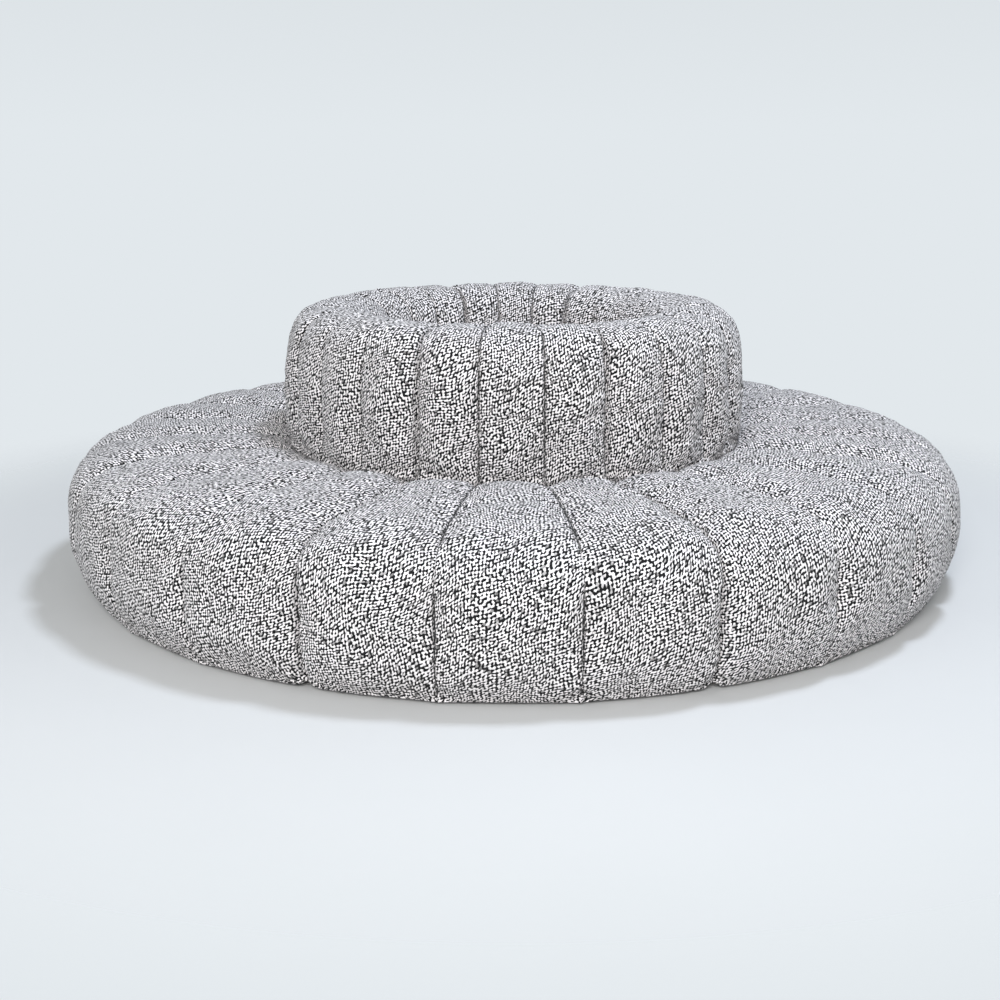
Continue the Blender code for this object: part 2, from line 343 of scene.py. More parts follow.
# A heavy, fairly stretchy boucle, cut 3.5 % larger than its outline and filled from inside
cloth_settings = {
    "quality": 6,
    "mass": 0.25,
    "tension_stiffness": 18,
    "compression_stiffness": 10,
    "shear_stiffness": 6,
    "bending_stiffness": 0.35,
    "tension_damping": 8,
    "compression_damping": 8,
    "bending_damping": 0.6,
    "air_damping": 2,
    "shrink_min": -0.035,
    "use_pressure": True,
    "uniform_pressure_force": 4.0,
}
cloth_frames = 20
# More columns at these shares of a channel from each seam, for the thread's groove
groove_columns = np.array([0.0024, 0.0052, 0.0094, 0.0150])


def grid_faces(rows, columns):
    """Corner numbers of each quad of a grid, wound so that it faces outwards."""
    first = np.arange((rows - 1) * columns).reshape(rows - 1, columns)[:, :-1]
    return np.stack([first, first + 1, first + columns + 1, first + columns], axis=-1).reshape(-1, 4)


def new_object(name, data):
    """An object with this data, in the scene."""
    obj = bpy.data.objects.new(name, data)
    bpy.context.scene.collection.objects.link(obj)
    return obj


def blown_up(name, points, held, most):
    """The grid as cloth under pressure, fixed where held; no point moves further than most."""
    rows, columns, _ = points.shape
    mesh = bpy.data.meshes.new(name)
    mesh.from_pydata(points.reshape(-1, 3), [], grid_faces(rows, columns).tolist())
    obj = new_object(name, mesh)
    group = obj.vertex_groups.new(name="held")
    group.add(np.flatnonzero(held).tolist(), 1.0, "REPLACE")
    cloth = obj.modifiers.new("cloth", "CLOTH")
    for setting, value in cloth_settings.items():
        setattr(cloth.settings, setting, value)
    cloth.settings.vertex_group_mass = group.name
    cloth.settings.effector_weights.gravity = 0
    cloth.collision_settings.use_collision = False
    scene = bpy.context.scene
    for number in range(1, cloth_frames + 1):
        scene.frame_set(number)
    graph = bpy.context.evaluated_depsgraph_get()
    moved = mesh_points(obj.evaluated_get(graph).data).reshape(points.shape)
    bpy.data.objects.remove(obj)
    bpy.data.meshes.remove(mesh)
    scene.frame_set(1)
    step = moved - points
    length = np.linalg.norm(step, axis=2, keepdims=True)
    return points + step * np.minimum(1, most / np.maximum(length, 1e-9))


def sewn_cloth(name, section, steps, slack, most):
    """Sewn skin of one cushion, blown up between seams, hem and rear that are held.

    A crown starts out slack inside its path, and the filling moves it by most or less.
    """
    path, depth = section
    number, share = column_places(channels_per_module, steps)
    points = skin_grid(path, depth, number, share, slack)
    held = np.zeros(points.shape[:2], dtype=bool)
    held[:, share == 0] = True
    held[:, -1] = True
    held[[0, -1]] = True
    points = blown_up(name, points, held, most)
    return kept_inside(finer(finer(points, 0), 1))


def kept_inside(points):
    """The points, turned back about the axis where they lie past the planes beside the joints."""
    radius = np.hypot(points[..., 0], points[..., 1])
    angle = np.arctan2(points[..., 0], -points[..., 1])
    limit = side_angle(radius, side_gap)
    return polar(radius, np.clip(angle, -limit, limit), points[..., 2])


def fine_places(steps):
    """Channel number and share for each column of the finer grid."""
    number, share = column_places(channels_per_module, steps)
    along = finer((number + share)[:, None], 0)[:, 0]
    number = np.minimum(np.floor(along + 1e-9), channels_per_module - 1)
    return number, along - number


def beside_seams(points, number, share):
    """More columns beside each seam, on straight lines between their neighbours."""
    along = number + share
    seams = np.arange(channels_per_module + 1.0)[:, None]
    more = np.concatenate([seams[:-1] + groove_columns, seams[1:] - groove_columns]).ravel()
    places = np.unique(np.round(np.concatenate([along, more]), 7))
    index = np.clip(np.searchsorted(along, places, side="right") - 1, 0, len(along) - 2)
    part = ((places - along[index]) / (along[index + 1] - along[index]))[None, :, None]
    number = np.minimum(np.floor(places + 1e-6), channels_per_module - 1)
    return points[:, index] * (1 - part) + points[:, index + 1] * part, number, places - number


# Relief on the finer grid, in metres where it doesn't say millimetres

lump_sizes_mm, lump_heights_mm, waves_per_size = (190, 90, 42), (1.6, 1.1, 0.5), 5
# Relief fades out this near to an end of the section, and lumps this near to a seam
end_fade, seam_fade = 0.03, 0.02
# Puckers: from one to the next, how far out from the seam they are highest, and how high
pucker_pitch, pucker_place, pucker_height = 0.031, 0.012, 0.0011
# They wander along the seam and grow and shrink on it, at so many radians a metre
pucker_wander, wander_rate, growth_rate = 1.1, 23, 9
# The thread's groove, which is deeper at the puckers and wavers besides
groove_depth, groove_pucker, groove_waver, waver_rate = 0.0080, 0.0022, 0.0015, 61
groove_reach = 0.0030
# How much deeper and wider a joint's groove is, so that it shows as a dark line
joint_depth, joint_reach = 0.0072, 0.0014
# A hem corner's lift at a joint, its reach along the hem and above it
corner_lift, corner_reach, corner_height = 0.011, 0.013, 0.035


def ripples(across, along, seed):
    """Sum of sines over both lengths, with seeded directions and phases."""
    draw = np.random.default_rng(seed)
    total = np.zeros(across.shape)
    for size, height in zip(lump_sizes_mm, lump_heights_mm):
        for _ in range(waves_per_size):
            turn = draw.uniform(0, np.pi)
            phase = draw.uniform(0, math.tau)
            length = size * draw.uniform(0.75, 1.35) * millimetre
            wave = (across * np.cos(turn) + along * np.sin(turn)) * math.tau / length
            total += height * millimetre / waves_per_size**0.5 * np.sin(wave + phase)
    return total


def section_normals(points):
    """Outward unit normals of the section alone: across the module's width they don't turn."""
    angle = np.arctan2(points[..., 0], -points[..., 1])
    across = np.stack([np.cos(angle), np.sin(angle), 0 * angle], axis=-1)
    normal = np.cross(across, np.gradient(points, axis=0))
    return normal / np.maximum(np.linalg.norm(normal, axis=2), 1e-12)[:, :, None]


def worked(points, number, share, seed):
    """Lumps of the filling, puckers out from each seam, the thread's groove, and rounded hem corners.

    A pucker is a sine along the seam times d exp(1 - d), where d is the distance from the seam over
    that of the highest place. The groove is a bell curve of the distance from the seam, deeper and
    wider at a joint. A corner is lifted by a bell curve of the distance from the joint, which fades
    by a square above the hem.
    """
    radius = np.hypot(points[..., 0], points[..., 1])
    channel_width = module_angle / channels_per_module * radius
    steps = np.linalg.norm(np.diff(points, axis=0), axis=2).mean(axis=1)
    along = np.concatenate([[0.0], np.cumsum(steps)])[:, None]
    place = (number + share)[None, :]
    across = place * channel_width
    from_seam = np.minimum(share, 1 - share)[None, :] * channel_width
    free = np.minimum(1, np.minimum(along, along[-1] - along) / end_fade)
    lumps = ripples(across, along + 0 * across, seed)
    fade = np.minimum(1, from_seam / seam_fade)
    draw = np.random.default_rng(seed + 50)
    seam = np.round(place).astype(int)
    first_phase, second_phase = draw.uniform(0, math.tau, (2, channels_per_module + 1))[:, seam]
    wander = pucker_wander * np.sin(along * wander_rate + second_phase)
    pucker = np.sin(along * math.tau / pucker_pitch + first_phase + wander)
    reach = from_seam / pucker_place * np.exp(1 - from_seam / pucker_place)
    strength = pucker_height * (0.6 + 0.4 * np.sin(along * growth_rate + second_phase))
    at_joint = seam % channels_per_module == 0
    waver = groove_waver * np.sin(along * waver_rate + first_phase)
    depth = groove_depth + groove_pucker * pucker + waver + joint_depth * at_joint
    groove = -depth * np.exp(-((from_seam / (groove_reach + joint_reach * at_joint)) ** 2)) * free
    height = (lumps * fade + pucker * reach * strength) * free
    result = points + surface_normals(points) * height[:, :, None]
    result += section_normals(points) * groove[:, :, None]
    if points[0, 0, 2] < hem_height:
        to_joint = np.minimum(place, channels_per_module - place) * channel_width
        low = np.clip(1 - along / corner_height, 0, 1) ** 2
        result[..., 2] += corner_lift * np.exp(-((to_joint / corner_reach) ** 2)) * low
    return kept_inside(result)


# Closing

# Rows past this share of the way to the front hem rise with its lifted corners
front_share = 0.95
# Each module, channel and side panel lies elsewhere on the cloth, by these lengths in metres
module_patch, channel_patch, panel_patch = 12.7, 3.1, 40.0
# Pockets: chords of the frames' arcs, room round a frame, inset from the side planes, cut past the hem
frame_chords, pocket_room, pocket_inset, pocket_overrun = 6, 0.0003, 0.0122, 0.02
# A stitch's middle over the bottom of its groove, how far its ends dip, and half its share of the pitch
stitch_lift, stitch_dip, stitch_share = 0.0062, 0.0034, 0.46


def closed_cushion(name, points, number, share, closing, cloth_offset):
    """A closed body: the skin, its rear and underside as more rows, and a flat side panel at each end.

    closing gives, for each extra row, its share of the way from the last row's radius to the first
    row's, and its height. A side panel is one face within the skin's outline.
    """
    first = np.hypot(points[0, :, 0], points[0, :, 1])
    last = np.hypot(points[-1, :, 0], points[-1, :, 1])
    part, height = closing[:, 0, None], closing[:, 1, None]
    radius = last * (1 - part) + first * part
    across = 2 * (number + share) / channels_per_module - 1
    lifted = np.where(part > front_share, points[None, 0, :, 2] - points[0, :, 2].min(), 0)
    extra = polar(radius, across * side_angle(radius, side_gap), height + lifted)
    tube = np.concatenate([points, extra])
    rows, columns, _ = tube.shape
    wrapped = np.concatenate([np.arange(rows), [0]])
    corner = np.arange(rows * columns).reshape(rows, columns)[wrapped]
    skin = np.stack(
        [corner[:-1, :-1], corner[:-1, 1:], corner[1:, 1:], corner[1:, :-1]], axis=-1
    ).reshape(-1, 4)
    panels = [corner[:-1, 0].tolist(), corner[-2::-1, -1].tolist()]
    mesh = bpy.data.meshes.new(name)
    mesh.from_pydata(tube.reshape(-1, 3), [], skin.tolist() + panels)
    lay_cloth(mesh, tube, number, share, len(skin), cloth_offset)
    return mesh


def lay_cloth(mesh, tube, number, share, skin_count, cloth_offset):
    """UV map in metres: across a channel from its middle line, and along the section.

    All faces are first laid by radius and height, which the side panels keep.
    """
    rows, columns, _ = tube.shape
    points = mesh_points(mesh)
    radius = np.hypot(points[:, 0], points[:, 1])
    corners = np.empty(len(mesh.loops), dtype=np.int32)
    mesh.loops.foreach_get("vertex_index", corners)
    place = np.stack([radius[corners], points[corners, 2]], axis=1) + (cloth_offset, panel_patch)
    steps = np.linalg.norm(np.diff(tube, axis=0), axis=2).mean(axis=1)
    along = np.concatenate([[0.0], np.cumsum(steps), [steps.sum() + steps[-1]]])
    widths = np.linalg.norm(np.diff(tube, axis=1), axis=2)
    across = np.concatenate([np.zeros((rows, 1)), np.cumsum(widths, axis=1)], axis=1)
    middle_places = np.arange(channels_per_module)[:, None] + 0.5
    middles = np.argmin(np.abs(number + share - middle_places), axis=1)
    row = np.repeat(np.arange(rows), columns - 1)
    column = np.tile(np.arange(columns - 1), rows)
    channel = number[column].astype(int)
    rows_of = np.stack([row, row, row + 1, row + 1], axis=1)
    columns_of = np.stack([column, column + 1, column + 1, column], axis=1)
    wrapped = rows_of % rows
    middle = across[wrapped, middles[channel][:, None]]
    patch = (channel * channel_patch + cloth_offset)[:, None]
    place[: 4 * skin_count, 0] = (across[wrapped, columns_of] - middle + patch).ravel()
    place[: 4 * skin_count, 1] = along[rows_of].ravel()
    layer = mesh.uv_layers.new(name="cloth")
    layer.uv.foreach_set("vector", place.astype(np.float32).ravel())


def sector_block(name, inner, outer, top):
    """A block between two radii with straight sides, arcs in chords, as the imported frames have."""
    corners = frame_chords + 1
    share = np.linspace(-1, 1, corners)
    outline = np.concatenate([
        polar(outer, share * side_angle(outer, pocket_inset), np.zeros(corners)),
        polar(inner, share[::-1] * side_angle(inner, pocket_inset), np.zeros(corners)),
    ])
    low, high = outline + (0, 0, hem_height - pocket_overrun), outline + (0, 0, top)
    count = 2 * corners
    ring = np.arange(count)
    sides = np.stack([ring, np.roll(ring, -1), np.roll(ring, -1) + count, ring + count], axis=1)
    strip = np.arange(frame_chords)
    caps = np.stack([strip, count - 1 - strip, count - 2 - strip, strip + 1], axis=1)
    mesh = bpy.data.meshes.new(name)
    faces = [*sides.tolist(), *caps.tolist(), *(caps[:, ::-1] + count).tolist()]
    mesh.from_pydata(np.concatenate([low, high]), [], faces)
    return mesh


def with_pockets(obj, blocks):
    """Takes the space of the frames out of a cushion."""
    for block in blocks:
        cutter = new_object(block.name, block)
        cut = obj.modifiers.new("pocket", "BOOLEAN")
        cut.operation = "DIFFERENCE"
        cut.solver = "MANIFOLD"
        cut.object = cutter
    graph = bpy.context.evaluated_depsgraph_get()
    mesh = bpy.data.meshes.new_from_object(obj.evaluated_get(graph), depsgraph=graph)
    for cut in list(obj.modifiers):
        cutter = cut.object
        obj.modifiers.remove(cut)
        bpy.data.meshes.remove(cutter.data)
    old = obj.data
    obj.data = mesh
    bpy.data.meshes.remove(old)
    mesh.name = obj.name


def stitch_mesh(name, seams, pitch, thread_radius):
    """Short threads along each seam: a spindle of three six-sided rings between two poles.

    A ring point is centre + along * place + thickness * (cos * side + sin * normal), and both ends
    dip into the cloth by the square of their place. A real thread is about 1 mm thick; it is drawn
    thicker, so that it shows.
    """
    places = np.array([-1.0, -0.62, 0.0, 0.62, 1.0])
    thick = np.array([0.0, 0.8, 1.0, 0.8, 0.0]) * thread_radius
    lift = stitch_lift - stitch_dip * places**2
    turns = np.arange(6) * math.tau / 6
    vertices = []
    for path, normals in seams:
        at = arc_positions(path)
        centres_at = np.arange(pitch, at[-1] - pitch, pitch)
        centre = np.stack([np.interp(centres_at, at, path[:, i]) for i in range(3)], axis=1)
        tangents = np.gradient(path, at, axis=0)
        along = np.stack([np.interp(centres_at, at, tangents[:, i]) for i in range(3)], axis=1)
        up = np.stack([np.interp(centres_at, at, normals[:, i]) for i in range(3)], axis=1)
        along /= np.linalg.norm(along, axis=1)[:, None]
        aside = np.cross(along, up)
        aside /= np.linalg.norm(aside, axis=1)[:, None]
        up = np.cross(aside, along)
        half = pitch * stitch_share
        spine = (
            centre[:, None, :]
            + along[:, None, :] * (places * half)[None, :, None]
            + up[:, None, :] * lift[None, :, None]
        )
        spokes = (
            aside[:, None, None, :] * np.cos(turns)[None, None, :, None]
            + up[:, None, None, :] * np.sin(turns)[None, None, :, None]
        )
        rings = spine[:, 1:4, None, :] + spokes * thick[1:4][None, :, None, None]
        rings = rings.reshape(len(centre), 18, 3)
        vertices.append(np.concatenate([spine[:, :1], rings, spine[:, 4:]], axis=1).reshape(-1, 3))
    points = np.concatenate(vertices)
    side = np.arange(6)
    following = (side + 1) % 6
    quads = np.concatenate([
        np.stack([1 + k * 6 + side, 1 + k * 6 + following, 7 + k * 6 + following, 7 + k * 6 + side], 1)
        for k in range(2)
    ])
    ends = np.concatenate([
        np.stack([0 * side, 1 + following, 1 + side], 1),
        np.stack([0 * side + 19, 13 + side, 13 + following], 1),
    ])
    starts = np.arange(len(points) // 20)[:, None, None] * 20
    faces = (quads + starts).reshape(-1, 4).tolist() + (ends + starts).reshape(-1, 3).tolist()
    mesh = bpy.data.meshes.new(name)
    mesh.from_pydata(points, [], faces)
    return mesh


# Nodes

def add_node(tree, kind, inputs=(), stops=(), **settings):
    """Adds a node. inputs are values or outputs to link, by name or in the order of the sockets.

    A Map Range takes a value, the least and greatest it has, and what these become. stops are the
    places and colours of a ramp.
    """
    node = tree.nodes.new("ShaderNode" + kind)
    for name, value in settings.items():
        setattr(node, name, value)
    for name, value in inputs.items() if isinstance(inputs, dict) else enumerate(inputs):
        if isinstance(value, bpy.types.NodeSocket):
            tree.links.new(value, node.inputs[name])
        else:
            node.inputs[name].default_value = value
    for i, (place, colour) in enumerate(stops):
        elements = node.color_ramp.elements
        element = elements[i] if i < 2 else elements.new(place)
        element.position = place
        element.color = (*colour, 1)
    return node


def new_material(name):
    """A material, its shader, and what adds a node to it and links two sockets."""
    material = bpy.data.materials.new(name)
    material.use_nodes = True
    tree = material.node_tree
    return material, tree.nodes["Principled BSDF"], functools.partial(add_node, tree), tree.links.new


def set_shader(shader, **values):
    """Sets the shader's own sockets, named with an underscore for each space."""
    for name, value in values.items():
        shader.inputs[name.replace("_", " ")].default_value = value


def boucle_material(fabric):
    """Wool-mix boucle, woven from looped yarn: matt pale and charcoal curls with a soft nap, and painted
    shade in the gaps between the loops.
    """
    material, shader, node, link = new_material("woven_wool_mix_boucle")
    cloth = node("UVMap", uv_map="cloth").outputs["UV"]
    # Rows of loops wander by up to 17 mm to each side over 140 mm, as the cover is pulled over a puff
    wander = node(
        "TexNoise", {"Vector": cloth, "Scale": 1 / 0.14, "Detail": 0}, noise_dimensions="2D"
    ).outputs["Color"]
    centred = node("VectorMath", (wander, (0.5, 0.5, 0.5)), operation="SUBTRACT").outputs[0]
    moved = node("VectorMath", (centred, (0.034, 0.034, 0), cloth), operation="MULTIPLY_ADD").outputs[0]
    # Loops are 1.45 times as long as wide, and their rows run at 0.6 radians to the channel
    laid = node(
        "Mapping",
        {"Vector": moved, "Rotation": (0, 0, -0.6), "Scale": (1, 1.45, 1)},
        vector_type="TEXTURE",
    ).outputs[0]
    # Real loops are 3 to 4 mm; they are drawn at loop_pitch so that each shows at two pixels
    loops = node(
        "TexVoronoi",
        {"Vector": laid, "Scale": 1 / fabric.loop_pitch, "Randomness": 0.9},
        voronoi_dimensions="2D",
        feature="F1",
    )
    chance = node("SeparateColor", {"Color": loops.outputs["Color"]}).outputs["Red"]
    # Fibre ends stand 1.4 mm apart
    fibre = node(
        "TexNoise", {"Vector": cloth, "Scale": 700, "Detail": 2}, noise_dimensions="2D"
    ).outputs["Fac"]
    # Pale and charcoal loops take turns along and across the rows, and single loops break the turns
    cell = node(
        "VectorMath", {0: loops.outputs["Position"], "Scale": 1 / fabric.loop_pitch}, operation="SCALE"
    ).outputs[0]
    cell = node("VectorMath", (cell,), operation="FLOOR").outputs[0]
    cell = node("VectorMath", (cell, (1, 1, 0)), operation="DOT_PRODUCT").outputs["Value"]
    turn = node("Math", (cell, 2.0), operation="FLOORED_MODULO").outputs[0]
    own = node("Math", (chance, 0.40), operation="MULTIPLY").outputs[0]
    for source, share in ((turn, 0.50), (fibre, 0.12)):
        own = node("Math", (source, share, own), operation="MULTIPLY_ADD").outputs[0]
    yarn = node(
        "ValToRGB",
        {"Fac": own},
        stops=[
            (0.54, fabric.dark_yarn),
            (0.57, fabric.grey_yarn),
            (0.59, fabric.grey_yarn),
            (0.62, fabric.pale_yarn),
        ],
    )
    from_middle = loops.outputs["Distance"]
    # Painted shade: the colour darkens to 0.7 towards each loop's edge, as the gaps between loops lie in
    # shade
    painted_gap_shade = node("MapRange", (from_middle, 0.35, 0.75, 1, 0.7)).outputs["Result"]
    fibre_tone = node("MapRange", (fibre, 0.3, 0.7, 0.9, 1.06)).outputs["Result"]
    # The nap lies differently from one hand's breadth, 90 mm, to the next
    place = node("TexCoord").outputs["Object"]
    nap = node("TexNoise", {"Vector": place, "Scale": 11, "Detail": 3}).outputs["Fac"]
    nap_tone = node("MapRange", (nap, 0.3, 0.7, 0.94, 1.05)).outputs["Result"]
    tone = painted_gap_shade
    for factor in (fibre_tone, nap_tone):
        tone = node("Math", (tone, factor), operation="MULTIPLY").outputs[0]
    colour = node("VectorMath", {0: yarn.outputs["Color"], "Scale": tone}, operation="SCALE").outputs[0]
    link(colour, shader.inputs["Base Color"])
    dome = node("MapRange", (from_middle, 0.1, 0.75, 1, 0)).outputs["Result"]
    height = node("Math", (fibre, 0.25, dome), operation="MULTIPLY_ADD").outputs[0]
    bump = node("Bump", {"Height": height, "Strength": 0.8, "Distance": 0.0016}).outputs["Normal"]
    link(bump, shader.inputs["Normal"])
    rough = node("MapRange", (fibre, 0.3, 0.7, 0.85, 1.0)).outputs["Result"]
    link(rough, shader.inputs["Roughness"])
    set_shader(shader, IOR=1.5, Sheen_Weight=0.10, Sheen_Roughness=0.45)
    shader.inputs["Specular IOR Level"].default_value = 0.2
    return material


def thread_and_seam_shade_material(fabric):
    """Bonded polyester sewing thread, twisted: near black, partly its own dye and partly painted shade of
    the seam's fold, with darker bands along the twist and a slight gloss.
    """
    material, shader, node, link = new_material("bonded_polyester_thread")
    place = node("TexCoord").outputs["Object"]
    # One turn of the twist every 1.2 mm
    twist = node("TexWave", {"Vector": place, "Scale": 260, "Distortion": 2}).outputs["Fac"]
    darker = tuple(0.5 * value for value in fabric.thread_and_seam_shade)
    colour = node(
        "ValToRGB", {"Fac": twist}, stops=[(0.2, darker), (0.8, tuple(fabric.thread_and_seam_shade))]
    ).outputs["Color"]
    link(colour, shader.inputs["Base Color"])
    set_shader(shader, IOR=1.55, Roughness=0.55, Sheen_Weight=0.1)
    return material


def plywood_material():
    """Rotary-cut birch plywood, sanded: pale wavy figure, and plies 1.4 mm thick at its edges."""
    material, shader, node, link = new_material("sanded_birch_plywood")
    place = node("TexCoord").outputs["Object"]
    # The figure repeats every 150 mm along the grain and every 20 mm across it
    stretched = node("Mapping", {"Vector": place, "Scale": (3.0, 22.0, 22.0)}).outputs[0]
    figure = node(
        "TexNoise", {"Vector": stretched, "Scale": 2.2, "Detail": 7, "Distortion": 1.4}
    ).outputs["Fac"]
    wood = node(
        "ValToRGB",
        {"Fac": figure},
        stops=[
            (0.30, linear_from_hex("b98f5e")),
            (0.52, linear_from_hex("dcbb8b")),
            (0.75, linear_from_hex("ecd3a8")),
        ],
    ).outputs["Color"]
    # One dark and one pale ply every 2.8 mm, on the upright faces alone
    height = node("SeparateXYZ", {"Vector": place}).outputs["Z"]
    layer = node("Math", (height, math.tau / 0.0028), operation="MULTIPLY").outputs[0]
    layer = node("Math", (layer,), operation="SINE").outputs[0]
    normal = node("NewGeometry").outputs["Normal"]
    upward = node("SeparateXYZ", {"Vector": normal}).outputs["Z"]
    flatness = node("Math", (upward,), operation="ABSOLUTE").outputs[0]
    edge = node("Math", (flatness, 0.5), operation="LESS_THAN").outputs[0]
    dark = node("MapRange", (layer, 0.0, 0.7, 0.0, 0.55)).outputs["Result"]
    share = node("Math", (edge, dark), operation="MULTIPLY").outputs[0]
    colour = node(
        "Mix", {"Factor": share, 6: wood, 7: (*linear_from_hex("8a6238"), 1)}, data_type="RGBA"
    ).outputs[2]
    link(colour, shader.inputs["Base Color"])
    # Sanded pores, 1.5 mm apart across the grain and 11 mm along it
    pores = node("TexNoise", {"Vector": stretched, "Scale": 30, "Detail": 4}).outputs["Fac"]
    bump = node("Bump", {"Height": pores, "Strength": 0.3, "Distance": 0.0002}).outputs["Normal"]
    link(bump, shader.inputs["Normal"])
    set_shader(shader, IOR=1.5, Roughness=0.62)
    return material


def lacquer_material():
    """Board sprayed with satin black lacquer: near black, slight orange peel, dust on it."""
    material, shader, node, link = new_material("satin_black_lacquered_board")
    place = node("TexCoord").outputs["Object"]
    # Dust lies in patches of 17 mm
    dust = node("TexNoise", {"Vector": place, "Scale": 60, "Detail": 5}).outputs["Fac"]
    colour = node(
        "ValToRGB",
        {"Fac": dust},
        stops=[(0.35, linear_from_hex("111113")), (0.75, linear_from_hex("222226"))],
    ).outputs["Color"]
    link(colour, shader.inputs["Base Color"])
    # Orange peel of 2.2 mm
    peel = node("TexNoise", {"Vector": place, "Scale": 450, "Detail": 2}).outputs["Fac"]
    bump = node("Bump", {"Height": peel, "Strength": 0.2, "Distance": 0.0001}).outputs["Normal"]
    link(bump, shader.inputs["Normal"])
    rough = node("MapRange", (dust, 0.3, 0.7, 0.35, 0.55)).outputs["Result"]
    link(rough, shader.inputs["Roughness"])
    return material


def steel_material():
    """Stamped steel, bright zinc plated: cool grey with a fine spangle."""
    material, shader, node, link = new_material("bright_zinc_plated_steel")
    place = node("TexCoord").outputs["Object"]
    # Spangles are 4.5 mm wide
    spangle = node("TexVoronoi", {"Vector": place, "Scale": 220}).outputs["Color"]
    tone = node("SeparateColor", {"Color": spangle}).outputs["Red"]
    colour = node(
        "ValToRGB",
        {"Fac": tone},
        stops=[(0.0, linear_from_hex("b4b8bc")), (1.0, linear_from_hex("d0d3d6"))],
    ).outputs["Color"]
    link(colour, shader.inputs["Base Color"])
    rough = node("MapRange", (tone, 0.0, 1.0, 0.26, 0.42)).outputs["Result"]
    link(rough, shader.inputs["Roughness"])
    set_shader(shader, Metallic=1.0)
    return material


def floor_material(studio):
    """Matt painted studio floor, rolled: one pale tone with a faint mottle, fading out far away."""
    material, shader, node, link = new_material("matt_painted_floor")
    place = node("TexCoord").outputs["Object"]
    # Mottle of 0.8 m
    mottle = node("TexNoise", {"Vector": place, "Scale": 1.2, "Detail": 4}).outputs["Fac"]
    tone = node("MapRange", (mottle, 0.3, 0.7, 0.99, 1.01)).outputs["Result"]
    far = node("VectorMath", (place,), operation="LENGTH").outputs["Value"]
    colour = node("VectorMath", {0: tuple(studio.floor), "Scale": tone}, operation="SCALE").outputs[0]
    link(colour, shader.inputs["Base Color"])
    # The floor is whole to 1.5 m from the axis and gone at 2.6 m, where the sky's tone takes over
    fading = node("MapRange", (far, 1.5, 2.6, 1, 0), interpolation_type="SMOOTHSTEP").outputs["Result"]
    link(fading, shader.inputs["Alpha"])
    set_shader(shader, Roughness=0.9)
    shader.inputs["Specular IOR Level"].default_value = 0.1
    return material


# Covers

# For each kind: columns to a channel and the rows' pitch before both are made finer, how far a crown
# starts inside its path, how far the filling moves it at most, and half the thread's thickness
seat_steps, seat_pitch, seat_slack, seat_swell, seat_thread = 36, 0.0077, 0.012, 0.016, 0.0023
back_steps, back_pitch, back_slack, back_swell, back_thread = 24, 0.0088, 0.011, 0.014, 0.0015
# The hem's rounding, the first row over it, and rows over the underside from rear to front
hem_round, hem_rise = 0.003, 0.06
underside_rows = (0.25, 0.5, 0.75)
# The seat's skirt hangs from this share of the underside on, and is closed by a row at the second
skirt_start, skirt_row = 0.9015, 0.985
skirt_rise = 0.0015
# Below the deck the back's foot is cut away to this radius, past its front
foot_cut = 0.66
# A face whose normal's share towards a side plane is over this lies in it
in_plane = 0.9995


def placed(points, module):
    """Points turned about the axis to the place of a module, the first of which faces -Y."""
    turn = (module - 1) * module_angle
    across, deep = points[..., 0], points[..., 1]
    return np.stack(
        [
            across * math.cos(turn) - deep * math.sin(turn),
            across * math.sin(turn) + deep * math.cos(turn),
            points[..., 2],
        ],
        axis=-1,
    )


def seam_lines(points, number, share):
    """Points and outward directions along each seam between two channels."""
    normals = surface_normals(points)
    columns = np.flatnonzero((share < 1e-6) & (number > 0))
    return [(points[4:-4, column], normals[4:-4, column]) for column in columns]


def finish_mesh(obj, material, sharp_degrees=40):
    """Gives a new piece its material and smooth shading between its sharp edges."""
    mesh = obj.data
    mesh.materials.clear()
    mesh.materials.append(material)
    mesh.shade_smooth()
    mesh.set_sharp_from_angle(angle=math.radians(sharp_degrees))


def in_side_planes(mesh):
    """Which faces of a cover that faces -Y lie flat in its two side panels."""
    normals = np.empty(len(mesh.polygons) * 3)
    mesh.polygons.foreach_get("normal", normals)
    across, deep, _ = normals.reshape(-1, 3).T
    return np.abs(across) * math.cos(half_angle) + deep * math.sin(half_angle) > in_plane


def make_cover(kind, module, grid, number, share, closing, blocks, material):
    """One cover, closed and with the frames' room cut out, turned to the place of its module."""
    name = f"{kind}_cover_{module}"
    cover = new_object(name, closed_cushion(name, grid, number, share, closing, module * module_patch))
    with_pockets(cover, [sector_block(f"{kind}_pocket", *block) for block in blocks])
    flat = in_side_planes(cover.data)
    cover.data.vertices.foreach_set("co", placed(mesh_points(cover.data), module).ravel())
    cover.data.update()
    finish_mesh(cover, material)
    # Side panels are shaded flat, so that the grooves' walls beside them cast no false tone on them
    cover.data.polygons.foreach_set("use_smooth", ~flat)
    return cover


def make_ring(kind, points, steps, closing, blocks, thread_radius, context):
    """Eight covers of one kind and their stitches, each from the same cloth worked with its own seed."""
    fabric = context.scene.ring_sofa_fabric
    boucle = bpy.data.materials.get("woven_wool_mix_boucle") or boucle_material(fabric)
    # The thread's near black is partly painted shade of the seam's fold
    thread_and_seam_shade = bpy.data.materials.get("bonded_polyester_thread") or thread_and_seam_shade_material(fabric)
    pitch = context.scene.ring_sofa_sizes.stitch_pitch
    points, number, share = beside_seams(points, *fine_places(steps))
    for module in range(1, module_count + 1):
        # Every other module's cloth is mirrored
        grid = points if module % 2 else points[:, ::-1] * (-1, 1, 1)
        grid = worked(grid, number, share, 11 * module + len(kind))
        cover = make_cover(kind, module, grid, number, share, closing, blocks, boucle)
        lines = [placed(np.array(line), module) for line in seam_lines(grid, number, share)]
        name = f"{kind}_stitches_{module}"
        stitches = new_object(name, stitch_mesh(name, lines, pitch, thread_radius))
        finish_mesh(stitches, thread_and_seam_shade)
        body = f"module_{module}"
        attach(cover, body)
        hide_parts(f"{kind}_cushion_{module}")
        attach(stitches, body)


# Operators

